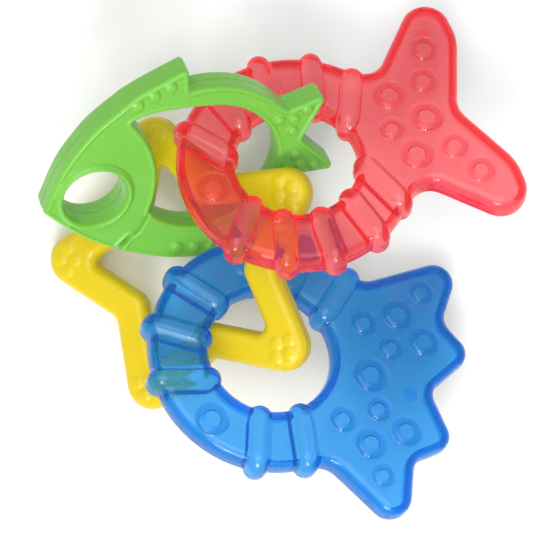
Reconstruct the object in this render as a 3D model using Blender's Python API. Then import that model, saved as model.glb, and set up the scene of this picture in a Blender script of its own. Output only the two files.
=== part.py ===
"""Teething ring: four interlinked rings (fish, star, fish tail and scallop shell).

Lengths in the tables are millimetres; the meshes are metres with +Z up.
Every ring is drawn flat about its own centre, its motif on the +X side,
and is then laid on the floor by a tilt, a rise direction and a heading.
"""
import math

import bmesh
import bpy
from mathutils import Matrix, Vector

MM = 0.001
GAP = 0.3                     # clearance kept between touching pieces

# ---- water filled rings (fish tail ring and scallop shell ring) ----
BORE = 21.4                   # inner radius of the ring
RIM = 40.9                    # outer radius of the ring
SLAB = 5.3                    # half thickness of the flat body
SLAB_ROUND = 3.6              # edge rounding of the flat body
WALL = 1.8                    # shell wall round the water
RIB_WIDTH = 3.7               # half width of a rib
RIB_IN = 11.4                 # reach of a rib from the band's middle to the bore
RIB_OUT = 12.4                # reach of a rib from the band's middle to the rim
RIB_HEIGHT = 6.7              # half thickness over a rib
RIB_CORNER = 4.6              # corner rounding of a rib loop
DOME_LIFT = 1.1               # height of the soft domes
PLUG = 2.5                    # radius of the fill plug

# ribs: place round the band and direction in which the rib crosses it, degrees
TAIL_RIBS = ((31.5, 64.0), (57.5, 74.5), (86.0, 94.0), (118.0, 106.0), (148.0, 126.0),
             (-38.0, -70.0), (-64.5, -77.0), (-91.5, -93.0), (-118.5, -106.5),
             (-145.5, -131.0))
TAIL_DOMES = ((58.2, 25.6, 4.9), (52.9, 13.6, 4.9), (39.6, 11.9, 5.8), (48.2, -0.6, 5.9),
              (35.0, -1.0, 4.4), (57.6, -26.6, 4.9), (52.7, -14.6, 4.9),
              (39.3, -13.2, 5.9), (-31.0, -1.6, 5.8))
TAIL_PLUG = (62.5, 35.0)

SHELL_RIBS = ((54.0, 69.0), (84.0, 81.0), (152.0, 161.0), (-177.0, 178.5),
              (-146.0, -164.0), (-87.0, -82.0), (-58.5, -71.0))
SHELL_DOMES = ((34.6, 0.0, 6.0), (39.8, 11.5, 4.2), (29.2, 18.0, 4.5), (40.2, 24.3, 5.4),
               (50.6, 16.9, 5.2), (46.9, 34.6, 4.1), (39.2, -11.4, 4.2),
               (28.0, -18.2, 4.5), (38.6, -24.2, 5.4), (49.7, -16.6, 5.2),
               (44.3, -34.1, 4.1), (-15.0, 29.0, 5.7), (-15.2, -29.8, 5.7))
SHELL_PLUG = (50.5, 0.0)

# ---- rigid star ring ----
STAR_TIP = 45.0               # centre line radius at the points
STAR_VALLEY = 24.5            # centre line radius between the points
STAR_BAND = 5.4               # half width of the bar
STAR_HALF = 4.2               # half thickness
STAR_ROUND = 3.0              # edge rounding
STAR_BUMP = 1.6               # radius of the small tip bumps
STAR_BUMPS = ((42.2, 0.0), (37.4, 0.0), (39.8, 3.3), (39.8, -3.3))

# ---- rigid fish ring ----
FISH_RING = 5.2               # ring centre along the fish
FISH_BORE = 23.6
FISH_RIM = 31.0
FISH_HALF = 4.8               # half thickness of the body bar
HEAD_HALF = 5.3               # half thickness of the head plate
EYE = (-32.0, 10.5)           # eye hole: centre along the fish, radius
GILL = (-10.4, 6.5, 0.0155)   # gill curve: foremost x, its y and the bend

# ---- how the four rings lie: centre, tilt, direction that rises, heading ----
POSES = {
    "star": ((-30.46, -1.48, 22.76), 22.8, 11.0, -1.8),
    "shell": ((-4.16, -31.08, 31.16), 27.3, -122.0, -13.0),
    "fish": ((-31.06, 31.72, 39.06), 44.0, 116.0, 12.6),
    "tail": ((4.74, 31.62, 37.66), 28.6, -95.0, 20.9),
}
# size of each ring against its drawing
SIZES = {"star": 1.054, "shell": 0.991, "fish": 1.035, "tail": 0.956}
# a point on the axis each ring swings about where it hangs in its neighbour
HINGES = {
    "star": (-30.46, -1.48, 22.76),
    "shell": (-16.46, -16.48, 26.26),
    "fish": (0.21, 22.05, 23.75),
    "tail": (-24.06, 53.24, 33.14),
}


# ------------------------------------------------------------------ outlines
def polar(radius, degrees, cx=0.0, cy=0.0):
    """Point on a circle."""
    a = math.radians(degrees)
    return (cx + radius * math.cos(a), cy + radius * math.sin(a))


def arc(radius, start, end, steps, cx=0.0, cy=0.0):
    """Evenly spaced points along an arc, both ends included."""
    return [polar(radius, start + (end - start) * i / steps, cx, cy) for i in range(steps + 1)]


def circle(radius, steps, cx=0.0, cy=0.0):
    """Closed circle without a doubled end point."""
    return arc(radius, 0.0, 360.0, steps, cx, cy)[:-1]


def rounded(corners, degrees_per_step=26.0):
    """Closed polygon whose corners (x, y, radius) are rounded by true arcs."""
    points = []
    count = len(corners)
    for i, (x, y, radius) in enumerate(corners):
        here = Vector((x, y))
        before = (Vector(corners[i - 1][:2]) - here).normalized()
        after = (Vector(corners[(i + 1) % count][:2]) - here).normalized()
        half = math.acos(max(-1.0, min(1.0, before.dot(after)))) / 2.0
        if radius <= 0.0 or half > math.radians(89.0):
            points.append((x, y))
            continue
        centre = here + (before + after).normalized() * (radius / math.sin(half))
        start = here + before * (radius / math.tan(half)) - centre
        turn = math.pi - 2.0 * half
        steps = max(2, round(math.degrees(turn) / degrees_per_step))
        side = 1.0 if before.cross(after) < 0.0 else -1.0
        for k in range(steps + 1):
            a = side * turn * k / steps
            spun = Vector((start.x * math.cos(a) - start.y * math.sin(a),
                           start.x * math.sin(a) + start.y * math.cos(a)))
            points.append(tuple(centre + spun))
    return points


def mirrored(half):
    """Whole outline from its upper half, listed counter-clockwise."""
    lower = [(x, -y, r) for x, y, r in reversed(half) if abs(y) > 1e-6]
    return list(half) + lower


def inset(points, distance):
    """Loop moved into the material (to its left) by a distance."""
    if abs(distance) < 1e-9:
        return list(points)
    moved = []
    count = len(points)
    for i in range(count):
        here = Vector(points[i])
        a = (here - Vector(points[i - 1])).normalized()
        b = (Vector(points[(i + 1) % count]) - here).normalized()
        normal = Vector((-a.y - b.y, a.x + b.x)).normalized()
        stretch = max(0.5, normal.dot(Vector((-a.y, a.x))))
        moved.append(tuple(here + normal * (distance / stretch)))
    return moved


def tail_outline():
    """Ring outline with a forked fish tail on the +X side."""
    half = [(60.4, 0.0, 10.0), (72.4, 27.4, 20.0), (72.2, 57.8, 8.9), (38.4, 21.7, 7.0)]
    half += [(x, y, 0.0) for x, y in arc(RIM, 45.0, 180.0, 15)]
    return rounded(mirrored(half))


def shell_outline():
    """Ring outline with a scallop shell of four points on the +X side."""
    half = [(56.2, 0.0, 5.5), (68.4, 16.6, 5.7), (55.8, 26.0, 6.0), (58.8, 53.6, 6.9),
            (26.5, 33.4, 8.0)]
    half += [(x, y, 0.0) for x, y in arc(RIM, 66.0, 180.0, 12)]
    return rounded(mirrored(half))


def star_loop(offset, tip_radius, valley_radius):
    """Five pointed star at a distance outside the centre line of the bar."""
    reach = STAR_TIP - STAR_VALLEY * math.cos(math.radians(36.0))
    lean = math.atan2(STAR_VALLEY * math.sin(math.radians(36.0)), reach)
    tip = STAR_TIP + offset / math.sin(lean)
    valley = STAR_VALLEY + offset / math.sin(lean + math.radians(36.0))
    corners = []
    for k in range(5):
        corners.append((*polar(tip, 36.0 + 72.0 * k), tip_radius))
        corners.append((*polar(valley, 72.0 + 72.0 * k), valley_radius))
    return rounded(corners, 24.0)


def fish_outline():
    """Fish silhouette: pointed head, fins, round body and forked tail."""
    upper = [(37.3, 0.0, 0.8), (48.0, 15.4, 1.6), (34.2, 13.2, 1.5)]
    upper += [(x, y, 0.0) for x, y in arc(FISH_RIM, 33.0, 88.0, 7, FISH_RING)]
    upper += [(3.9, 31.0, 1.0), (5.0, 38.2, 1.4), (-12.6, 32.6, 40.0), (-27.2, 24.0, 40.0),
              (-38.8, 13.6, 40.0), (-48.6, 0.0, 2.0)]
    lower = [(x, -y, r) for x, y, r in reversed(upper[1:-1])]
    chin = [(-28.6, -22.9, 0.0), (-22.8, -18.4, 0.0), (-27.0, -24.1, 0.0)]
    return rounded(upper + lower[:1] + chin + lower[2:])


def gill_point(y):
    """X of the gill curve at a height across the fish."""
    front, middle, bend = GILL
    return front - bend * (y - middle) ** 2


def fish_opening():
    """Opening of the fish ring: round bore closed on the head side by the gill."""
    loop = [(x, y) for x, y in arc(FISH_BORE, -150.0, 136.0, 24, FISH_RING)]
    loop += [(gill_point(y), y) for y in (10.0, 3.0, -4.0)]
    return loop


def head_outline():
    """Head plate: everything on the nose side of the gill curve."""
    side = [(-14.6, 31.7, 0.6), (-27.2, 24.0, 40.0), (-38.8, 13.6, 40.0), (-48.6, 0.0, 2.0),
            (-38.8, -13.6, 40.0), (-28.4, -23.1, 1.0)]
    gill = [(gill_point(y), y, 0.0) for y in (-18.0, -11.0, -4.0, 3.0, 10.0, 17.0, 25.0)]
    return rounded(side + gill)


# ------------------------------------------------------------------ mesh tools
def add_loop(bm, points, z):
    """Ring of vertices at one height."""
    return [bm.verts.new((x * MM, y * MM, z * MM)) for x, y in points]


def bridge(bm, low, high):
    """Quads between two loops of equal length."""
    count = len(low)
    for i in range(count):
        j = (i + 1) % count
        bm.faces.new((low[i], low[j], high[j], high[i]))


def loop_edges(bm, loop):
    """Edges round a vertex loop, made where missing."""
    edges = []
    for i, vert in enumerate(loop):
        other = loop[(i + 1) % len(loop)]
        found = bm.edges.get((vert, other))
        edges.append(found or bm.edges.new((vert, other)))
    return edges


def add_dome(bm, x, y, radius, z, lift, sides):
    """Low dome with a flat crown; gives back its base loop."""
    base = add_loop(bm, circle(radius, sides, x, y), z)
    shoulder = add_loop(bm, circle(radius * 0.55, sides, x, y), z + lift)
    bridge(bm, base, shoulder)
    bm.faces.new(shoulder)
    return base


def plate(name, outer, holes, levels, domes=(), lift=0.0, sides=8):
    """Closed flat body; levels are (height, inset) pairs from bottom to top."""
    bm = bmesh.new()
    ends = []
    for loop in [outer] + [list(reversed(h)) for h in holes]:
        stack = [add_loop(bm, inset(loop, grow), z) for z, grow in levels]
        for low, high in zip(stack, stack[1:]):
            bridge(bm, low, high)
        ends.append((stack[0], stack[-1]))
    for which, sign in ((0, -1.0), (1, 1.0)):
        z = levels[0][0] if which == 0 else levels[-1][0]
        edges = []
        for pair in ends:
            edges += loop_edges(bm, pair[which])
        for x, y, radius in domes:
            edges += loop_edges(bm, add_dome(bm, x, y, radius, z, sign * lift, sides))
        bmesh.ops.triangle_fill(bm, use_beauty=True, use_dissolve=False, edges=edges)
    bmesh.ops.recalc_face_normals(bm, faces=bm.faces)
    return to_object(name, bm)


def to_object(name, bm):
    """Turn a bmesh into a linked object."""
    mesh = bpy.data.meshes.new(name)
    bm.to_mesh(mesh)
    bm.free()
    obj = bpy.data.objects.new(name, mesh)
    bpy.context.scene.collection.objects.link(obj)
    return obj


def round_levels(half, radius, extra=0.0, steps=2):
    """Height and inset pairs for a flat body with rounded edges."""
    upper = []
    for k in range(steps + 1):
        a = math.pi / 2.0 * k / steps
        upper.append((half - radius + radius * math.sin(a), extra + radius * (1.0 - math.cos(a))))
    lower = [(-z, grow) for z, grow in reversed(upper)]
    return lower + upper


def combine(obj, other, operation):
    """Exact Boolean of two objects; the second one is used up."""
    modifier = obj.modifiers.new("combine", "BOOLEAN")
    modifier.operation = operation
    modifier.solver = "EXACT"
    modifier.object = other
    bpy.context.view_layer.update()
    depsgraph = bpy.context.evaluated_depsgraph_get()
    mesh = bpy.data.meshes.new_from_object(obj.evaluated_get(depsgraph))
    obj.modifiers.clear()
    old = obj.data
    obj.data = mesh
    bpy.data.meshes.remove(old)
    discard(other)
    return obj


def discard(obj):
    """Remove a construction object and its mesh."""
    mesh = obj.data
    bpy.data.objects.remove(obj)
    bpy.data.meshes.remove(mesh)


def duplicate(obj, name):
    """Independent copy of an object."""
    copy = bpy.data.objects.new(name, obj.data.copy())
    bpy.context.scene.collection.objects.link(copy)
    return copy


def slab_box(low, high):
    """Large block used to trim a body at the parting plane."""
    bm = bmesh.new()
    bmesh.ops.create_cube(bm, size=1.0)
    scale = Matrix.Diagonal((0.3, 0.3, (high - low) * MM, 1.0))
    bmesh.ops.transform(bm, matrix=scale, verts=bm.verts)
    shift = Matrix.Translation((0.0, 0.0, (low + high) / 2.0 * MM))
    bmesh.ops.transform(bm, matrix=shift, verts=bm.verts)
    return to_object("trim", bm)


def halves(body, front_name, back_name):
    """Split a body at its parting plane into two halves with a fine gap."""
    front = duplicate(body, front_name)
    back = body
    back.name = back_name
    combine(front, slab_box(-30.0, GAP / 2.0), "DIFFERENCE")
    combine(back, slab_box(-GAP / 2.0, 30.0), "DIFFERENCE")
    return front, back


# ------------------------------------------------------------------ ring bodies
def rib_section(bulge, inward):
    """Rounded rectangle round the band; bulge runs from 0 at a rib side to 1."""
    shrink = 2.9 * (1.0 - bulge)
    out = RIB_OUT - shrink
    back = shrink - inward
    half_z = RIB_HEIGHT - 2.4 * (1.0 - bulge)
    corner = RIB_CORNER * (0.55 + 0.45 * bulge)
    corners = [(out, half_z, corner), (back, half_z, corner),
               (back, -half_z, corner), (out, -half_z, corner)]
    return rounded(corners, 45.0)


def add_rib(bm, degrees, lean):
    """One rib: a swollen loop that wraps the band and crosses it at a lean."""
    a = math.radians(lean)
    out = Vector((math.cos(a), math.sin(a), 0.0))
    along = Vector((-math.sin(a), math.cos(a), 0.0))
    middle = Vector((*polar((BORE + RIM) / 2.0, degrees), 0.0))
    inward = RIB_IN / math.cos(math.radians(lean - degrees))
    stack = []
    for turn in (-80.0, -42.0, 0.0, 42.0, 80.0):
        shift = RIB_WIDTH * math.sin(math.radians(turn))
        section = rib_section(math.cos(math.radians(turn)), inward)
        loop = []
        for r, z in section:
            spot = middle + out * r + along * shift + Vector((0.0, 0.0, z))
            loop.append(bm.verts.new(spot * MM))
        stack.append(loop)
    for low, high in zip(stack, stack[1:]):
        bridge(bm, low, high)
    bm.faces.new(list(reversed(stack[0])))
    bm.faces.new(stack[-1])


def rib_set(ribs):
    """All ribs of one ring as a single construction object."""
    bm = bmesh.new()
    for degrees, lean in ribs:
        add_rib(bm, degrees, lean)
    bmesh.ops.recalc_face_normals(bm, faces=bm.faces)
    return to_object("ribs", bm)


def water_ring(prefix, outline, ribs, domes, plug_at):
    """Two welded shells, the water they hold and the fill plug."""
    bore = circle(BORE, 32)
    body = plate("body", outline, [bore], round_levels(SLAB, SLAB_ROUND), domes, DOME_LIFT)
    combine(body, rib_set(ribs), "UNION")
    front, back = halves(body, prefix + "_front_shell", prefix + "_back_shell")
    chamber = round_levels(SLAB - WALL, 1.6, WALL, 1)
    for half in (front, back):
        combine(half, plate("chamber", outline, [bore], chamber), "DIFFERENCE")
    combine(back, disc("port", plug_at, PLUG + GAP, -SLAB - 1.0, -SLAB + WALL + 0.5), "DIFFERENCE")
    fill = round_levels(SLAB - WALL - GAP, 1.6, WALL + GAP, 1)
    water = plate(prefix + "_water", outline, [bore], fill)
    plug = disc(prefix + "_fill_plug", plug_at, PLUG, -SLAB + 0.1, -SLAB + WALL)
    return [front, back, water, plug]


def disc(name, centre, radius, low, high):
    """Short upright cylinder."""
    return plate(name, circle(radius, 12, *centre), [], [(low, 0.0), (high, 0.0)])


def star_bumps():
    """Four small bumps in the tip of every star point."""
    bumps = []
    for k in range(5):
        a = 36.0 + 72.0 * k
        for reach, side in STAR_BUMPS:
            spread = math.degrees(math.atan2(side, reach))
            bumps.append((*polar(math.hypot(reach, side), a + spread), STAR_BUMP))
    return bumps


def star_ring():
    """Open five pointed star of rounded bar, in two welded halves."""
    outer = star_loop(STAR_BAND, 8.2, 4.0)
    inner = star_loop(-STAR_BAND, 2.4, 6.0)
    levels = round_levels(STAR_HALF, STAR_ROUND)
    body = plate("body", outer, [inner], levels, star_bumps(), 0.6, 6)
    return list(halves(body, "star_front", "star_back"))


def fish_domes():
    """Small domes on both fins and on both tail lobes."""
    upper = [(-12.5, 28.8, 2.1), (-7.2, 31.2, 2.1), (-1.5, 33.0, 2.1),
             (31.0, 10.2, 1.7), (35.6, 9.4, 1.7), (34.6, 4.9, 1.7), (40.6, 11.0, 1.7)]
    return upper + [(x, -y, r) for x, y, r in upper]


def fish_ring():
    """Fish shaped ring with an eye hole, in two welded halves."""
    eye = circle(EYE[1], 24, EYE[0])
    levels = round_levels(FISH_HALF, 0.7, 0.0, 1)
    body = plate("body", fish_outline(), [fish_opening(), eye], levels, fish_domes(), 0.9, 8)
    crown = [(z, grow - 0.4) for z, grow in round_levels(HEAD_HALF, 0.7, 0.0, 1)]
    eye_edge = circle(EYE[1] - 0.1, 24, EYE[0])
    combine(body, plate("head", head_outline(), [eye_edge], crown), "UNION")
    return list(halves(body, "fish_front", "fish_back"))


# ------------------------------------------------------------------ materials
def plastic(name, colour, roughness, alpha=1.0):
    """Principled plastic; alpha below one marks the clear mouldings."""
    material = bpy.data.materials.new(name)
    material.use_nodes = True
    shader = material.node_tree.nodes["Principled BSDF"]
    shader.inputs["Base Color"].default_value = (*colour, 1.0)
    shader.inputs["Roughness"].default_value = roughness
    shader.inputs["Alpha"].default_value = alpha
    material.diffuse_color = (*colour, alpha)
    return material


def fish_green(name):
    """Opaque bright green."""
    return plastic(name, (0.20, 0.55, 0.06), 0.32)


def star_yellow(name):
    """Opaque warm yellow."""
    return plastic(name, (0.90, 0.68, 0.02), 0.35)


def tail_red(name):
    """Clear red moulding."""
    return plastic(name, (0.90, 0.06, 0.08), 0.15, 0.6)


def shell_blue(name):
    """Clear blue moulding."""
    return plastic(name, (0.01, 0.26, 0.80), 0.15, 0.6)


def red_water(name):
    """Water seen through the red moulding."""
    return plastic(name, (0.95, 0.45, 0.45), 0.05, 0.4)


def blue_water(name):
    """Water seen through the blue moulding."""
    return plastic(name, (0.35, 0.65, 0.95), 0.05, 0.4)


# ------------------------------------------------------------------ assembly
def lie(key):
    """World placement of one ring."""
    centre, tilt, rising, heading = POSES[key]
    across = math.radians(rising)
    axis = Vector((math.sin(across), -math.cos(across), 0.0))
    spin = Matrix.Rotation(math.radians(tilt), 4, axis)
    turn = Matrix.Rotation(math.radians(heading), 4, "Z")
    return Matrix.Translation(Vector(centre) * MM) @ spin @ turn


def settle(key, pieces, paints):
    """Put the pieces of one ring in place with their origins on its hinge."""
    pivot = lie(key).inverted() @ (Vector(HINGES[key]) * MM)
    grow = Matrix.Diagonal((SIZES[key], SIZES[key], SIZES[key], 1.0))
    for obj, paint in zip(pieces, paints):
        obj.data.transform(Matrix.Translation(-pivot) @ grow)
        obj.matrix_world = lie(key) @ Matrix.Translation(pivot)
        obj.data.materials.clear()
        obj.data.materials.append(paint(obj.name + "_mat"))
        obj.data.name = obj.name


def build():
    """Build the four linked rings."""
    for obj in list(bpy.data.objects):
        bpy.data.objects.remove(obj)
    settle("star", star_ring(), [star_yellow, star_yellow])
    settle("fish", fish_ring(), [fish_green, fish_green])
    tail = water_ring("tail", tail_outline(), TAIL_RIBS, TAIL_DOMES, TAIL_PLUG)
    settle("tail", tail, [tail_red, tail_red, red_water, tail_red])
    shell = water_ring("shell", shell_outline(), SHELL_RIBS, SHELL_DOMES, SHELL_PLUG)
    settle("shell", shell, [shell_blue, shell_blue, blue_water, shell_blue])


build()
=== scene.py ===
import math

import bmesh
import bpy
import numpy as np
from mathutils import Matrix, Vector


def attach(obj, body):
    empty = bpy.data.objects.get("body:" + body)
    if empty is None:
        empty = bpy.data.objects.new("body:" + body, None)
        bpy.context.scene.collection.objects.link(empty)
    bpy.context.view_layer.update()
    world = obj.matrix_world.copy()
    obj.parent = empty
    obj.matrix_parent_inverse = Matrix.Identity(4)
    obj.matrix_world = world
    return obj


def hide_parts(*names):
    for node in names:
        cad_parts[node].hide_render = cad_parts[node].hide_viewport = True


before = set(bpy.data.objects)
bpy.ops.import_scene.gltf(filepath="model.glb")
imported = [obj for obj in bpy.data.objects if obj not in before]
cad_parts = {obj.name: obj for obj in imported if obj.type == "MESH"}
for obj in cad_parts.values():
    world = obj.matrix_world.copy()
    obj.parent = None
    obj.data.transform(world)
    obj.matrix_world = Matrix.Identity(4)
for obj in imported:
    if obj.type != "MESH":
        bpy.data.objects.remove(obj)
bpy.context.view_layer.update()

MM = 0.001

# ---- water filled rings ----
BORE = 21.4                   # inner radius
RIM = 41.1                    # outer radius
SLAB = 5.3                    # half thickness of the flat body
SLAB_ROUND = 3.6              # edge rounding
WALL = 1.8                    # wall above and below the water
RIM_WALL = 2.9                # wall beside the water, seen as a deeper border
RIB_WIDTH = 3.9               # half width of a rib
RIB_IN = 11.4                 # reach of a rib toward the bore
RIB_OUT = 12.9                # reach of a rib toward the rim
RIB_HEIGHT = 7.3              # half thickness over a rib
RIB_SWELL = 3.7               # how far the rib is swollen from its flat core
RIB_WALL = 1.6                # wall of a hollow rib
RIB_CORNER = 2.0              # edge rounding of a rib's flat core
DOME_RISE = 1.8               # height of the soft domes on the front
BACK_RISE = 0.5               # height of their faint copies on the back
DOME_FOOT = 0.2               # how far a dome is sunk into the face
WELD = 0.5                    # blend where ribs and domes meet the body
SEAM = 0.22                   # height of the weld seam round the edge
SEAM_WIDTH = 0.45             # half width of the weld seam
WATER_GAP = 0.12              # between the chamber's wall and the water
PLUG = 2.5                    # radius of the fill plug's cap
PLUG_RISE = 0.35              # middle of the cap above the back face
PLUG_HALF = 0.3               # half thickness of the cap
HAZE = 0.14                   # share of light that the soft plastic scatters

# ribs: place round the band and direction in which the rib crosses it, degrees
TAIL_RIBS = ((31.5, 64.0), (57.5, 74.5), (86.0, 94.0), (118.0, 106.0), (148.0, 126.0),
             (-38.0, -70.0), (-64.5, -77.0), (-91.5, -93.0), (-118.5, -106.5),
             (-145.5, -131.0))
TAIL_DOMES = ((58.2, 25.6, 4.9), (52.9, 13.6, 4.9), (39.6, 11.9, 5.8), (48.2, -0.6, 5.9),
              (35.0, -1.0, 4.4), (57.6, -26.6, 4.9), (52.7, -14.6, 4.9),
              (39.3, -13.2, 5.9), (-31.0, -1.6, 5.8))
TAIL_PLUG = (62.5, 35.0)

SHELL_RIBS = ((54.0, 69.0), (84.0, 81.0), (152.0, 161.0), (-177.0, 178.5),
              (-146.0, -164.0), (-87.0, -82.0), (-58.5, -71.0))
SHELL_DOMES = ((34.6, 0.0, 6.0), (39.8, 11.5, 4.2), (29.2, 18.0, 4.5), (40.2, 24.3, 5.4),
               (50.6, 16.9, 5.2), (46.9, 34.6, 4.1), (39.2, -11.4, 4.2),
               (28.0, -18.2, 4.5), (38.6, -24.2, 5.4), (49.7, -16.6, 5.2),
               (44.3, -34.1, 4.1), (-15.0, 29.0, 5.7), (-15.2, -29.8, 5.7))
SHELL_PLUG = (50.5, 0.0)

# ---- star ring ----
STAR_TIP = 46.4               # the bar's centre line at a tip
STAR_VALLEY = 24.5            # the bar's centre line between two tips
STAR_BAND = 5.4               # half width of the bar
STAR_HALF = 4.2               # half thickness of the bar
STAR_ROUND = 3.0              # edge rounding
STAR_BUMP = 1.8               # radius of a bump
STAR_BUMP_RISE = 0.9          # height of a bump
STAR_BUMPS = ((44.2, 0.0), (39.0, 0.0), (41.6, 3.7), (41.6, -3.7))

# ---- fish ring ----
FISH_RING = 5.2               # x of the round body's centre
FISH_BORE = 23.6              # inner radius of the round body
FISH_RIM = 31.0               # outer radius of the round body
FISH_HALF = 4.9               # half thickness of the body
HEAD_HALF = 5.4               # half thickness of the head
EYE = (-31.5, 1.2, 10.1)      # centre and radius of the eye hole
GILL = (-10.4, 6.5, 0.0155)   # rearmost x, its y, and the bend
LIP_WIDTH = 1.3               # raised border along the fish's edges
RECESS = 0.6                  # how far the face lies below that border
EYE_LIP = 2.7                 # width of the raised ring round the eye
EYE_RISE = 0.9                # height of that ring
EDGE = 1.8                    # softness of the fish's edges
DRAFT = 0.02                  # taper of the fish's side walls
GROOVE_DEPTH = 1.6            # depth of the groove under the gill
GROOVE_WIDTH = 0.55           # half width of that groove
FISH_DOME_RISE = 1.3          # height of the domes on the fins
FISH_DOMES = ((-13.1, 31.2, 1.9), (-7.5, 33.0, 1.9), (-1.9, 34.7, 1.9),
              (-8.6, -28.9, 1.9), (-3.0, -31.1, 1.9), (2.4, -33.0, 1.9))
FORK_DOME = 1.7               # radius of the domes on both lobes of the tail
FORK_DOMES = ((30.9, 10.4), (35.5, 9.3), (34.5, 4.9), (40.2, 11.6))
PARTING = 0.06                # half gap between two welded halves
CHAMFER = 0.15                # bevel of the halves at the parting plane

# ---- how each ring lies ----
POSES = {  # centre, tilt, direction that rises, heading; millimetres and degrees
    "star": ((-30.46, -1.48, 22.76), 22.8, 11.0, -1.8),
    "shell": ((-4.16, -31.08, 31.16), 27.3, -122.0, -13.0),
    "fish": ((-31.06, 31.72, 39.06), 44.0, 116.0, 12.6),
    "tail": ((4.74, 31.62, 37.66), 28.6, -95.0, 20.9),
}
SIZES = {"star": 1.054, "shell": 0.991, "fish": 1.035, "tail": 0.956}  # scale of each drawing

# ---- optics and stage ----
PLASTIC_IOR = 1.46
WATER_SIDE_IOR = 1.10         # of plastic against the water in the chamber
FLOOR_DROP = 0.0006           # gap under the rings, metres
CAMERA_PLACE = (-0.00046, -0.00648, 0.90826)
CAMERA_LENS = 170.2


# ------------------------------------------------------------------ outlines
def polar(radius, degrees, cx=0.0, cy=0.0):
    """Point on a circle."""
    a = math.radians(degrees)
    return (cx + radius * math.cos(a), cy + radius * math.sin(a))


def arc(radius, start, end, steps, cx=0.0, cy=0.0):
    """Evenly spaced points along an arc, both ends included."""
    return [polar(radius, start + (end - start) * i / steps, cx, cy) for i in range(steps + 1)]


def rounded(corners, degrees_per_step=7.0):
    """Closed polygon whose corners (x, y, radius) are rounded by true arcs."""
    points = []
    count = len(corners)
    for i, (x, y, radius) in enumerate(corners):
        here = Vector((x, y))
        before = (Vector(corners[i - 1][:2]) - here).normalized()
        after = (Vector(corners[(i + 1) % count][:2]) - here).normalized()
        half = math.acos(max(-1.0, min(1.0, before.dot(after)))) / 2.0
        if radius <= 0.0 or half > math.radians(89.0):
            points.append((x, y))
            continue
        centre = here + (before + after).normalized() * (radius / math.sin(half))
        start = here + before * (radius / math.tan(half)) - centre
        turn = math.pi - 2.0 * half
        steps = max(2, round(math.degrees(turn) / degrees_per_step))
        side = 1.0 if before.cross(after) < 0.0 else -1.0
        for k in range(steps + 1):
            a = side * turn * k / steps
            spun = Vector((start.x * math.cos(a) - start.y * math.sin(a),
                           start.x * math.sin(a) + start.y * math.cos(a)))
            points.append(tuple(centre + spun))
    return points


def tail_outline():
    """Ring outline with a forked fish tail on the +X side."""
    upper = [(60.4, 0.0, 10.0), (72.2, 27.2, 20.0), (71.6, 56.5, 8.7), (38.4, 21.7, 7.0)]
    lower = [(38.4, -21.7, 7.0), (69.9, -54.8, 8.9), (71.6, -26.4, 20.0)]
    band = [(x, y, 0.0) for x, y in arc(RIM, 45.0, 315.0, 80)]
    return rounded(upper + band + lower)


def shell_outline():
    """Ring outline with a scallop shell of four points on the +X side."""
    upper = [(56.0, 0.7, 5.5), (68.6, 17.8, 5.7), (56.4, 27.0, 6.0), (60.0, 53.8, 6.7),
             (26.5, 33.4, 8.0)]
    lower = [(26.5, -33.4, 8.0), (57.0, -52.3, 6.9), (54.6, -25.0, 6.0), (67.4, -15.8, 5.7)]
    band = [(x, y, 0.0) for x, y in arc(RIM, 66.0, 294.0, 68)]
    return rounded(upper + band + lower)


def star_loop(offset, tip_radius, valley_radius):
    """Five pointed star at a distance outside the centre line of the bar."""
    reach = STAR_TIP - STAR_VALLEY * math.cos(math.radians(36.0))
    lean = math.atan2(STAR_VALLEY * math.sin(math.radians(36.0)), reach)
    tip = STAR_TIP + offset / math.sin(lean)
    valley = STAR_VALLEY + offset / math.sin(lean + math.radians(36.0))
    corners = []
    for k in range(5):
        corners.append((*polar(tip, 36.0 + 72.0 * k), tip_radius))
        corners.append((*polar(valley, 72.0 + 72.0 * k), valley_radius))
    return rounded(corners)


def star_outline():
    """Outer edge of the star ring."""
    return star_loop(STAR_BAND, 8.2, 4.0)


def fish_outline():
    """Fish silhouette: pointed head, fins, round body and forked tail."""
    bar = [(48.0, 15.4, 1.6), (34.2, 13.2, 1.5)]
    bar += [(x, y, 0.0) for x, y in arc(FISH_RIM, 33.0, 88.0, 16, FISH_RING)]
    bar += [(3.9, 31.0, 1.0)]
    back = [(4.8, 39.8, 1.4), (-13.4, 34.6, 40.0), (-28.8, 26.0, 40.0), (-40.2, 14.8, 40.0)]
    nose = [(-48.6, 0.0, 2.0), (-38.8, -13.6, 40.0)]
    chin = [(-28.6, -22.9, 0.0), (-22.8, -18.4, 0.0), (-27.0, -24.1, 0.0)]
    belly = [(-12.6, -32.6, 40.0), (5.0, -38.2, 1.4)]
    lower = [(x, -y, r) for x, y, r in reversed(bar)]
    return rounded([(37.3, 0.0, 0.8)] + bar + back + nose + chin + belly + lower, 5.0)


def gill_point(y):
    """X of the gill curve at a height across the fish."""
    return GILL[0] - GILL[2] * (y - GILL[1]) ** 2


def fish_opening():
    """Opening of the fish ring: round bore, flatter toward the brow, and the gill."""
    bore = [(x, y, 0.0) for x, y in arc(FISH_BORE, -150.0, 74.0, 48, FISH_RING)]
    brow = [(3.0, 24.9, 0.0), (-5.8, 26.2, 30.0), (-11.7, 26.3, 12.0), (-15.7, 25.3, 0.5)]
    gill = [(gill_point(y), y, 0.0) for y in np.linspace(23.0, -11.5, 18)]
    return rounded(bore + brow + gill, 5.0)


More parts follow.
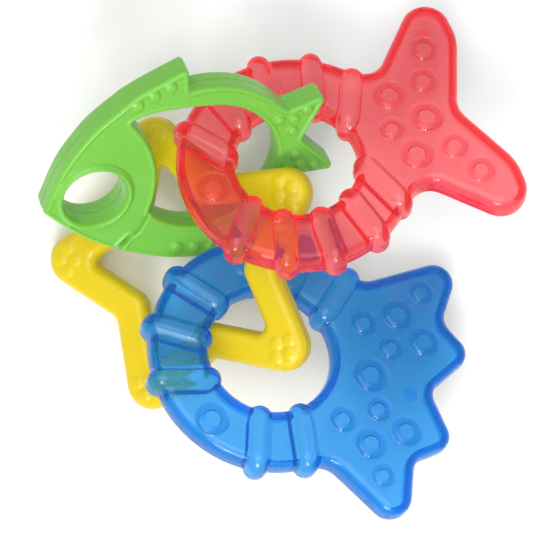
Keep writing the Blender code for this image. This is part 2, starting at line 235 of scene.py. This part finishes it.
def head_outline():
    """Head plate: everything on the nose side of the gill curve."""
    side = [(-15.8, 33.5, 0.6), (-28.8, 26.0, 40.0), (-40.2, 14.8, 40.0), (-48.6, 0.0, 2.0),
            (-38.8, -13.6, 40.0), (-28.4, -23.1, 1.0)]
    gill = [(gill_point(y), y, 0.0) for y in np.linspace(-18.0, 25.0, 16)]
    return rounded(side + gill, 5.0)


# ------------------------------------------------------------------ implicit solids
def outline_distance(x, y, points):
    """Distance to a closed outline, negative inside it."""
    best = np.full(x.shape, 1e9)
    inside = np.zeros(x.shape, bool)
    for (ax, ay), (bx, by) in zip(points, points[1:] + points[:1]):
        ex, ey = bx - ax, by - ay
        length = ex * ex + ey * ey
        if length < 1e-12:
            continue
        along = np.clip(((x - ax) * ex + (y - ay) * ey) / length, 0.0, 1.0)
        best = np.minimum(best, (x - ax - along * ex) ** 2 + (y - ay - along * ey) ** 2)
        if abs(ey) > 1e-12:
            inside ^= ((ay > y) != (by > y)) & (x < ex * (y - ay) / ey + ax)
    best = np.sqrt(best)
    return np.where(inside, -best, best)


def soft_min(a, b, blend):
    """Union of two solids with a rounded fillet."""
    near = np.maximum(blend - np.abs(a - b), 0.0) / blend
    return np.minimum(a, b) - near * near * blend * 0.25


def soft_max(a, b, blend):
    """Intersection of two solids with a rounded edge."""
    return -soft_min(-a, -b, blend)


def ramp(value, low, high):
    """Smooth step from 0 at low to 1 at high."""
    t = np.clip((value - low) / (high - low), 0.0, 1.0)
    return t * t * (3.0 - 2.0 * t)


def slab(edge, z, half, radius):
    """Flat body with quarter round edges."""
    across = edge + radius
    up = np.abs(z) - (half - radius)
    corner = np.hypot(np.maximum(across, 0.0), np.maximum(up, 0.0))
    return corner + np.minimum(np.maximum(across, up), 0.0) - radius


def nearest_dome(x, y, domes):
    """Distance from the closest dome's centre as a share of its radius."""
    nearest = np.full(x.shape, 1e9)
    for cx, cy, radius in domes:
        nearest = np.minimum(nearest, np.hypot(x - cx, y - cy) / radius)
    return nearest


def domes_field(nearest, z, level, rise):
    """Low domes with a flat crown and steep flanks, standing at a level."""
    up = np.abs(z - level) / rise
    return (np.cbrt(nearest ** 3 + up ** 3) - 1.0) * rise


def ribs_field(x, y, z, ribs):
    """Swollen loops that cross the band at given places and directions."""
    closest = np.full(x.shape, 1e9)
    side = np.zeros(x.shape)
    end = np.zeros(x.shape)
    for degrees, lean in ribs:
        px, py = polar((BORE + RIM) / 2.0, degrees)
        dx, dy = polar(1.0, lean)
        inward = RIB_IN / math.cos(math.radians(lean - degrees))
        forward = (x - px) * dx + (y - py) * dy
        offset = np.abs((y - py) * dx - (x - px) * dy)
        beyond = np.maximum(forward - RIB_OUT, -inward - forward) + RIB_SWELL
        measure = np.hypot(np.maximum(beyond, 0.0), offset)
        closer = measure < closest
        closest = np.where(closer, measure, closest)
        side = np.where(closer, offset, side)
        end = np.where(closer, beyond, end)
    plate = slab(end, z, RIB_HEIGHT - RIB_SWELL, RIB_CORNER)
    return np.hypot(np.maximum(plate, 0.0), side * RIB_SWELL / RIB_WIDTH) - RIB_SWELL


def water_ring(outline, ribs, domes):
    """Outer surface and water chamber of a water filled ring."""
    def edge(x, y):
        return np.maximum(outline_distance(x, y, outline), BORE - np.hypot(x, y))

    def outer(x, y, z):
        seam = SEAM * np.exp(-(z / SEAM_WIDTH) ** 2)
        body = slab(edge(x, y) - seam, z, SLAB, SLAB_ROUND)
        nearest = nearest_dome(x, y, domes)
        for height, rise in ((z, DOME_RISE), (-z, BACK_RISE)):
            crowns = domes_field(nearest, height, SLAB - DOME_FOOT, rise)
            body = soft_min(body, crowns, WELD * 0.5)
        return soft_min(body, ribs_field(x, y, z, ribs), WELD)

    def chamber(x, y, z):
        crown = ramp(1.0 - nearest_dome(x, y, domes), 0.42, 0.58)
        half = SLAB - WALL + DOME_RISE * crown * (z > 0.0)
        flat = slab(edge(x, y) + RIM_WALL, z, half, 0.8)
        return soft_min(flat, ribs_field(x, y, z, ribs) + RIB_WALL, 0.4)

    return outer, chamber


def star_field():
    """Star ring of rounded bar with four bumps in every point."""
    outer = star_outline()
    inner = star_loop(-STAR_BAND, 2.4, 6.0)
    bumps = []
    for k in range(5):
        for reach, side in STAR_BUMPS:
            spread = math.degrees(math.atan2(side, reach))
            bumps.append((*polar(math.hypot(reach, side), 36.0 + 72.0 * k + spread), STAR_BUMP))

    def field(x, y, z):
        edge = np.maximum(outline_distance(x, y, outer), -outline_distance(x, y, inner))
        body = slab(edge, z, STAR_HALF, STAR_ROUND)
        level = STAR_HALF - 0.3
        crowns = domes_field(nearest_dome(x, y, bumps), np.abs(z), level, STAR_BUMP_RISE)
        return soft_min(body, crowns, 0.7)

    return field


def fish_field():
    """Fish ring: recessed faces in a raised border, eye ring, groove and domes."""
    outer = fish_outline()
    opening = fish_opening()
    head = head_outline()
    domes = list(FISH_DOMES)
    domes += [(x, side * y, FORK_DOME) for x, y in FORK_DOMES for side in (1.0, -1.0)]

    def field(x, y, z):
        eye = np.hypot(x - EYE[0], y - EYE[1]) - EYE[2]
        edge = np.maximum(outline_distance(x, y, outer), -outline_distance(x, y, opening))
        edge = np.maximum(edge, -eye)
        plate = outline_distance(x, y, head)
        top = FISH_HALF + (HEAD_HALF - FISH_HALF) * ramp(-plate, -4.0, 4.0)
        top = top - RECESS * (1.0 - ramp(edge, -LIP_WIDTH - 0.7, -LIP_WIDTH))
        bead = 1.0 - (2.0 * eye / EYE_LIP - 1.0) ** 2
        top = top + (EYE_RISE + RECESS * 0.5) * np.sqrt(np.clip(bead, 0.0, 1.0))
        groove = np.exp(-(plate / GROOVE_WIDTH) ** 2) * ramp(-y, 11.0, 13.0)
        top = top - GROOVE_DEPTH * groove
        body = soft_max(edge + DRAFT * np.abs(z), np.abs(z) - top, EDGE)
        level = FISH_HALF - RECESS - 0.1
        crowns = domes_field(nearest_dome(x, y, domes), np.abs(z), level, FISH_DOME_RISE)
        return soft_min(body, crowns, 0.4)

    return field


# ------------------------------------------------------------------ meshing
CORNERS = [(i, j, k) for i in (0, 1) for j in (0, 1) for k in (0, 1)]
CELL_EDGES = [(a, b) for a in range(8) for b in range(a + 1, 8)
              if sum(abs(p - q) for p, q in zip(CORNERS[a], CORNERS[b])) == 1]


def surface_net(field, low, high, cell):
    """Quads of the surface where the field is zero, as vertices and faces."""
    counts = [int(math.ceil((b - a) / cell)) + 1 for a, b in zip(low, high)]
    axes = [a + cell * np.arange(n) for a, n in zip(low, counts)]
    x, y = np.meshgrid(axes[0], axes[1], indexing="ij")
    values = field(x[:, :, None], y[:, :, None], axes[2][None, None, :])
    solid = values < 0.0
    shape = [n - 1 for n in counts]
    filled = np.zeros(shape, np.int8)
    for i, j, k in CORNERS:
        filled += solid[i:i + shape[0], j:j + shape[1], k:k + shape[2]]
    active = np.argwhere((filled > 0) & (filled < 8))
    index = np.full(shape, -1, np.int64)
    index[tuple(active.T)] = np.arange(len(active))
    total = np.zeros((len(active), 3))
    hits = np.zeros(len(active))
    at_corner = [values[tuple((active + c).T)] for c in CORNERS]
    for a, b in CELL_EDGES:
        fa, fb = at_corner[a], at_corner[b]
        cross = (fa < 0.0) != (fb < 0.0)
        share = np.where(cross, fa / np.where(cross, fa - fb, 1.0), 0.0)
        start, end = np.array(CORNERS[a], float), np.array(CORNERS[b], float)
        total += (start + share[:, None] * (end - start)) * cross[:, None]
        hits += cross
    points = (active + total / hits[:, None]) * cell + np.array(low)
    faces = []
    for axis in range(3):
        faces.append(axis_quads(solid, index, axis))
    return points, np.concatenate(faces)


def axis_quads(solid, index, axis):
    """One quad round every grid edge of one direction that crosses the surface."""
    u, v = [(1, 2), (2, 0), (0, 1)][axis]
    step = [0, 0, 0]
    step[axis] = 1
    cut = [slice(None)] * 3
    cut[axis] = slice(0, solid.shape[axis] - 1)
    ahead = list(cut)
    ahead[axis] = slice(1, solid.shape[axis])
    first, second = solid[tuple(cut)], solid[tuple(ahead)]
    spots = np.argwhere(first != second)
    keep = (spots[:, u] > 0) & (spots[:, v] > 0)
    keep &= (spots[:, u] < index.shape[u]) & (spots[:, v] < index.shape[v])
    spots = spots[keep]
    outward = first[tuple(spots.T)]
    quads = []
    for du, dv in ((-1, -1), (0, -1), (0, 0), (-1, 0)):
        cell = spots.copy()
        cell[:, u] += du
        cell[:, v] += dv
        quads.append(index[tuple(cell.T)])
    quads = np.stack(quads, axis=1)
    quads[~outward] = quads[~outward][:, ::-1]
    return quads


def settle_points(field, points, rounds=3):
    """Move vertices onto the true surface by Newton steps."""
    probe = 0.03
    for _ in range(rounds):
        x, y, z = points.T
        value = field(x, y, z)
        slope = np.stack([field(x + probe, y, z), field(x, y + probe, z),
                          field(x, y, z + probe)], axis=1)
        slope = (slope - value[:, None]) / probe
        square = np.maximum((slope ** 2).sum(axis=1), 0.2)
        move = -(value / square)[:, None] * slope
        reach = np.linalg.norm(move, axis=1, keepdims=True)
        points = points + move * np.minimum(1.0, 0.25 / np.maximum(reach, 1e-9))
    return points


def lie(key):
    """World placement of one ring, from millimetres in its own drawing."""
    centre, tilt, rising, heading = POSES[key]
    across = math.radians(rising)
    axis = Vector((math.sin(across), -math.cos(across), 0.0))
    spin = Matrix.Rotation(math.radians(tilt), 4, axis)
    turn = Matrix.Rotation(math.radians(heading), 4, "Z")
    size = SIZES[key] * MM
    grow = Matrix.Diagonal((size, size, size, 1.0))
    return Matrix.Translation(Vector(centre) * MM) @ spin @ turn @ grow


def quad_mesh(name, shells):
    """Mesh from (points, faces, chamber mark) shells drawn in ring space."""
    all_points, all_faces, inner = [], [], []
    base = 0
    for points, faces, mark in shells:
        all_points.append(points)
        all_faces.append(faces + base)
        inner.append(np.full(len(points), mark))
        base += len(points)
    points = np.concatenate(all_points)
    faces = np.concatenate(all_faces)
    mesh = bpy.data.meshes.new(name)
    mesh.vertices.add(len(points))
    mesh.vertices.foreach_set("co", points.astype(np.float32).ravel())
    mesh.loops.add(faces.size)
    mesh.loops.foreach_set("vertex_index", faces.astype(np.int32).ravel())
    mesh.polygons.add(len(faces))
    mesh.polygons.foreach_set("loop_start", np.arange(0, faces.size, 4, dtype=np.int32))
    mesh.update(calc_edges=True)
    mark = mesh.attributes.new("chamber", "FLOAT", "POINT")
    mark.data.foreach_set("value", np.concatenate(inner).astype(np.float32))
    return mesh


def half_mesh(name, whole, field, side):
    """One half of a body, bevelled and capped beside the parting plane."""
    bm = bmesh.new()
    bm.from_mesh(whole)
    geometry = bm.verts[:] + bm.edges[:] + bm.faces[:]
    bmesh.ops.bisect_plane(bm, geom=geometry, dist=1e-5, plane_co=(0.0, 0.0, side * PARTING),
                           plane_no=(0.0, 0.0, -side), clear_outer=True)
    rim = [edge for edge in bm.edges if edge.is_boundary]
    verts = list({vert for edge in rim for vert in edge.verts})
    x, y, z = np.array([vert.co for vert in verts], dtype=float).T
    probe = 0.02
    slope_x = field(x + probe, y, z) - field(x - probe, y, z)
    slope_y = field(x, y + probe, z) - field(x, y - probe, z)
    steep = np.maximum(np.hypot(slope_x, slope_y), 1e-9)
    for vert, dx, dy in zip(verts, slope_x / steep, slope_y / steep):
        vert.co.x -= CHAMFER * dx
        vert.co.y -= CHAMFER * dy
    for edge in rim:
        edge.smooth = False
    cap = bmesh.ops.triangle_fill(bm, use_beauty=True, use_dissolve=False, edges=rim)["geom"]
    cap = [face for face in cap if isinstance(face, bmesh.types.BMFace)]
    x, y, z = np.array([face.calc_center_median() for face in cap], dtype=float).T
    outside = field(x, y, z) > 0.0
    spare = [face for face, empty in zip(cap, outside) if empty]
    bmesh.ops.delete(bm, geom=spare, context="FACES_KEEP_BOUNDARY")
    bmesh.ops.recalc_face_normals(bm, faces=bm.faces)
    mesh = bpy.data.meshes.new(name)
    bm.to_mesh(mesh)
    bm.free()
    return mesh


def place_object(name, key, mesh, material):
    """Object made from a ring-space mesh, laid where the ring lies."""
    mesh.shade_smooth()
    mesh.materials.append(material)
    mesh.transform(lie(key))
    mesh.update()
    obj = bpy.data.objects.new(name, mesh)
    bpy.context.scene.collection.objects.link(obj)
    return obj


def shell_of(field, box, cell, chamber=False):
    """Meshed surface of a field, its faces turned inward for a chamber."""
    low, high = box
    points, faces = surface_net(field, low, high, cell)
    points = settle_points(field, points)
    if chamber:
        faces = faces[:, ::-1]
    return points, faces, float(chamber)


# ------------------------------------------------------------------ materials
def new_material(name):
    """Empty node material with its output."""
    material = bpy.data.materials.new(name)
    material.use_nodes = True
    tree = material.node_tree
    tree.nodes.clear()
    output = tree.nodes.new("ShaderNodeOutputMaterial")
    return material, tree, output


def add(tree, kind, **values):
    """Node with some of its inputs or properties set."""
    node = tree.nodes.new(kind)
    for key, value in values.items():
        label = key.replace("_", " ")
        if label in node.inputs:
            node.inputs[label].default_value = value
        else:
            setattr(node, key, value)
    return node


def noise(tree, scale, detail=3.0):
    """Noise in object space."""
    place = add(tree, "ShaderNodeTexCoord")
    texture = add(tree, "ShaderNodeTexNoise", Scale=scale, Detail=detail)
    tree.links.new(place.outputs["Object"], texture.inputs["Vector"])
    return texture


def remap(tree, source, low, high):
    """Map 0..1 to a range."""
    node = add(tree, "ShaderNodeMapRange")
    node.inputs["To Min"].default_value = low
    node.inputs["To Max"].default_value = high
    tree.links.new(source, node.inputs["Value"])
    return node.outputs["Result"]


def bump(tree, texture, strength, distance):
    """Fine surface relief."""
    node = add(tree, "ShaderNodeBump", Strength=strength, Distance=distance)
    tree.links.new(texture.outputs[0], node.inputs["Height"])
    return node.outputs["Normal"]


def opaque_plastic(name, dark, light, roughness):
    """Solid moulded plastic: slight colour drift, satin gloss, fine mould grain."""
    material, tree, output = new_material(name)
    shader = add(tree, "ShaderNodeBsdfPrincipled")
    drift = noise(tree, 35.0)
    mix = add(tree, "ShaderNodeMix", data_type="RGBA")
    mix.inputs["A"].default_value = (*dark, 1.0)
    mix.inputs["B"].default_value = (*light, 1.0)
    tree.links.new(drift.outputs[0], mix.inputs["Factor"])
    tree.links.new(mix.outputs["Result"], shader.inputs["Base Color"])
    grain = noise(tree, 900.0)
    tree.links.new(remap(tree, noise(tree, 120.0).outputs[0], roughness - 0.05, roughness + 0.07),
                   shader.inputs["Roughness"])
    tree.links.new(bump(tree, grain, 0.06, 0.0002), shader.inputs["Normal"])
    shader.inputs["IOR"].default_value = 1.49
    shader.inputs["Subsurface Weight"].default_value = 0.25
    shader.inputs["Subsurface Radius"].default_value = (1.0, 0.8, 0.4)
    shader.inputs["Subsurface Scale"].default_value = 0.003
    tree.links.new(shader.outputs[0], output.inputs["Surface"])
    return material


def clear_plastic(name, absorb, density, haze_and_painted_glow_colour, shade, painted_glow):
    """Soft clear moulding that tints light by the thickness it crosses.

    The chamber attribute is 1 on the inner wall, where plastic meets water.
    """
    material, tree, output = new_material(name)
    chamber = add(tree, "ShaderNodeAttribute", attribute_name="chamber")
    shader = add(tree, "ShaderNodeBsdfPrincipled")
    shader.inputs["Base Color"].default_value = (1.0, 1.0, 1.0, 1.0)
    shader.inputs["Transmission Weight"].default_value = 1.0
    tree.links.new(remap(tree, chamber.outputs["Fac"], PLASTIC_IOR, WATER_SIDE_IOR), shader.inputs["IOR"])
    tree.links.new(remap(tree, noise(tree, 90.0).outputs[0], 0.02, 0.05),
                   shader.inputs["Roughness"])
    tree.links.new(bump(tree, noise(tree, 160.0), 0.02, 0.0004), shader.inputs["Normal"])
    # Painted glow: the outer surface emits the haze colour faintly, none on the chamber wall, to brighten
    # the plastic as light from the floor beneath would.
    shader.inputs["Emission Color"].default_value = (*haze_and_painted_glow_colour, 1.0)
    tree.links.new(remap(tree, chamber.outputs["Fac"], painted_glow, 0.0),
                   shader.inputs["Emission Strength"])
    milky = add(tree, "ShaderNodeBsdfTranslucent")
    milky.inputs["Color"].default_value = (*haze_and_painted_glow_colour, 1.0)
    dull = add(tree, "ShaderNodeBsdfDiffuse")
    dull.inputs["Color"].default_value = (*haze_and_painted_glow_colour, 1.0)
    cloud = add(tree, "ShaderNodeMixShader")
    tree.links.new(milky.outputs[0], cloud.inputs[1])
    tree.links.new(dull.outputs[0], cloud.inputs[2])
    blend = add(tree, "ShaderNodeMixShader")
    tree.links.new(remap(tree, chamber.outputs["Fac"], HAZE, 0.0), blend.inputs[0])
    tree.links.new(shader.outputs[0], blend.inputs[1])
    tree.links.new(cloud.outputs[0], blend.inputs[2])
    passing = add(tree, "ShaderNodeBsdfTransparent")
    passing.inputs["Color"].default_value = (shade, shade, shade, 1.0)
    path = add(tree, "ShaderNodeLightPath")
    soft = add(tree, "ShaderNodeMath", operation="MAXIMUM")
    tree.links.new(path.outputs["Is Shadow Ray"], soft.inputs[0])
    tree.links.new(path.outputs["Is Diffuse Ray"], soft.inputs[1])
    shadow = add(tree, "ShaderNodeMixShader")
    tree.links.new(soft.outputs[0], shadow.inputs[0])
    tree.links.new(blend.outputs[0], shadow.inputs[1])
    tree.links.new(passing.outputs[0], shadow.inputs[2])
    tree.links.new(shadow.outputs[0], output.inputs["Surface"])
    volume = add(tree, "ShaderNodeVolumeAbsorption")
    volume.inputs["Color"].default_value = (*absorb, 1.0)
    tree.links.new(remap(tree, soft.outputs[0], density, 0.0), volume.inputs["Density"])
    tree.links.new(volume.outputs[0], output.inputs["Volume"])
    return material


def water_material(name, tint):
    """Water behind the clear wall: a faint gloss on the chamber's surface."""
    material, tree, output = new_material(name)
    passing = add(tree, "ShaderNodeBsdfTransparent")
    passing.inputs["Color"].default_value = (*tint, 1.0)
    gloss = add(tree, "ShaderNodeBsdfGlossy")
    tree.links.new(remap(tree, noise(tree, 60.0).outputs[0], 0.05, 0.15),
                   gloss.inputs["Roughness"])
    blend = add(tree, "ShaderNodeMixShader")
    blend.inputs[0].default_value = 0.03
    tree.links.new(passing.outputs[0], blend.inputs[1])
    tree.links.new(gloss.outputs[0], blend.inputs[2])
    tree.links.new(blend.outputs[0], output.inputs["Surface"])
    return material


# ------------------------------------------------------------------ pieces
def pad(outline, margin, half):
    """Box round an outline, for meshing."""
    xs = [p[0] for p in outline]
    ys = [p[1] for p in outline]
    return ((min(xs) - margin, min(ys) - margin, -half),
            (max(xs) + margin, max(ys) + margin, half))


def make_water_ring(key, outline, ribs, domes, plug_at, plastic, water):
    """Clear ring, its water and its fill plug."""
    outer, chamber = water_ring(outline, ribs, domes)
    box = pad(outline, 4.0, RIB_HEIGHT + 1.5)
    shells = [shell_of(outer, box, 0.55), shell_of(chamber, box, 0.7, True)]
    name = key + "_clear_ring"
    ring = place_object(name, key, quad_mesh(name, shells), plastic)
    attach(ring, key + "_ring")
    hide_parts(key + "_front_shell", key + "_back_shell")

    def liquid(x, y, z):
        return chamber(x, y, z) + WATER_GAP

    name = key + "_ring_water"
    fill = place_object(name, key, quad_mesh(name, [shell_of(liquid, box, 0.8)]), water)
    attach(fill, key + "_ring")
    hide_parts(key + "_water")

    def cap(x, y, z):
        reach = np.hypot(x - plug_at[0], y - plug_at[1]) - PLUG
        return slab(reach, z + SLAB + PLUG_RISE, PLUG_HALF, 0.25)

    middle = Vector((plug_at[0], plug_at[1], -SLAB - PLUG_RISE))
    room = Vector((4.0, 4.0, 1.0))
    box = (tuple(middle - room), tuple(middle + room))
    name = key + "_plug_cap"
    plug = place_object(name, key, quad_mesh(name, [shell_of(cap, box, 0.15)]), plastic)
    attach(plug, key + "_ring")
    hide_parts(key + "_fill_plug")


def make_halves(key, outline, field, half, cell, material):
    """Front and back halves of a rigid ring."""
    whole = quad_mesh(key, [shell_of(field, pad(outline, 3.0, half + 3.0), cell)])
    for side, sign in (("front", 1.0), ("back", -1.0)):
        name = f"{key}_{side}_half"
        obj = place_object(name, key, half_mesh(name, whole, field, sign), material)
        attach(obj, key + "_ring")
        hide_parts(f"{key}_{side}")
    bpy.data.meshes.remove(whole)


def make_rings():
    """All four rings of the chain."""
    green = opaque_plastic("fish_green", (0.175, 0.52, 0.055), (0.21, 0.58, 0.075), 0.28)
    yellow = opaque_plastic("star_yellow", (0.72, 0.53, 0.005), (0.78, 0.60, 0.008), 0.28)
    make_halves("fish", fish_outline(), fish_field(), HEAD_HALF, 0.38, green)
    make_halves("star", star_outline(), star_field(), STAR_HALF, 0.5, yellow)
    # The red ring's last two values give its haze colour, also used for its painted glow, and the
    # strength of that painted glow on the outer surface.
    red = clear_plastic("clear_red", absorb=(0.985, 0.39, 0.44), density=560.0,
                        haze_and_painted_glow_colour=(1.0, 0.08, 0.10), shade=0.81, painted_glow=0.16)
    red_water = water_material("red_ring_water", (1.0, 0.98, 0.98))
    make_water_ring("tail", tail_outline(), TAIL_RIBS, TAIL_DOMES, TAIL_PLUG,
                    red, red_water)
    # The blue ring's last two values give its haze colour, also used for its painted glow, and the
    # strength of that painted glow on the outer surface.
    blue = clear_plastic("clear_blue", absorb=(0.08, 0.66, 0.93), density=680.0,
                         haze_and_painted_glow_colour=(0.01, 0.42, 0.98), shade=0.77, painted_glow=0.12)
    blue_water = water_material("blue_ring_water", (0.97, 0.99, 1.0))
    make_water_ring("shell", shell_outline(), SHELL_RIBS, SHELL_DOMES, SHELL_PLUG,
                    blue, blue_water)


# ------------------------------------------------------------------ stage
def make_stage():
    """White table top, soft studio lights and the camera above."""
    bpy.ops.mesh.primitive_plane_add(size=6.0, location=(0.0, 0.0, -FLOOR_DROP))
    floor = bpy.context.object
    floor.name = "floor"
    material, tree, output = new_material("white_table")
    shader = add(tree, "ShaderNodeBsdfPrincipled")
    shader.inputs["Base Color"].default_value = (0.97, 0.97, 0.97, 1.0)
    shader.inputs["Roughness"].default_value = 0.6
    tree.links.new(shader.outputs[0], output.inputs["Surface"])
    floor.data.materials.append(material)

    world = bpy.data.worlds.new("studio")
    bpy.context.scene.world = world
    world.use_nodes = True
    world.node_tree.nodes["Background"].inputs[0].default_value = (1.0, 1.0, 1.0, 1.0)
    world.node_tree.nodes["Background"].inputs[1].default_value = 0.45

    area_light("key", (-0.12, -0.60, 0.75), 0.45, 4.0)
    area_light("front_left", (-0.16, -0.52, 0.62), 0.07, 0.5)
    area_light("front_right", (0.05, -0.52, 0.66), 0.07, 0.5)
    area_light("top", (-0.1, 0.15, 1.1), 1.0, 6.0)

    camera = bpy.data.cameras.new("camera")
    camera.lens = CAMERA_LENS
    camera.sensor_width = 36.0
    camera.clip_end = 20.0
    holder = bpy.data.objects.new("camera", camera)
    holder.location = CAMERA_PLACE
    bpy.context.scene.collection.objects.link(holder)
    bpy.context.scene.camera = holder
    bpy.context.scene.view_settings.view_transform = "Standard"


def area_light(name, place, size, power):
    """Square soft box aimed at the rings."""
    light = bpy.data.lights.new(name, "AREA")
    light.shape = "SQUARE"
    light.size = size
    light.energy = power
    holder = bpy.data.objects.new(name, light)
    holder.location = place
    aim = Vector((0.0, 0.0, 0.02)) - Vector(place)
    holder.rotation_euler = aim.to_track_quat("-Z", "Y").to_euler()
    bpy.context.scene.collection.objects.link(holder)


make_rings()
make_stage()
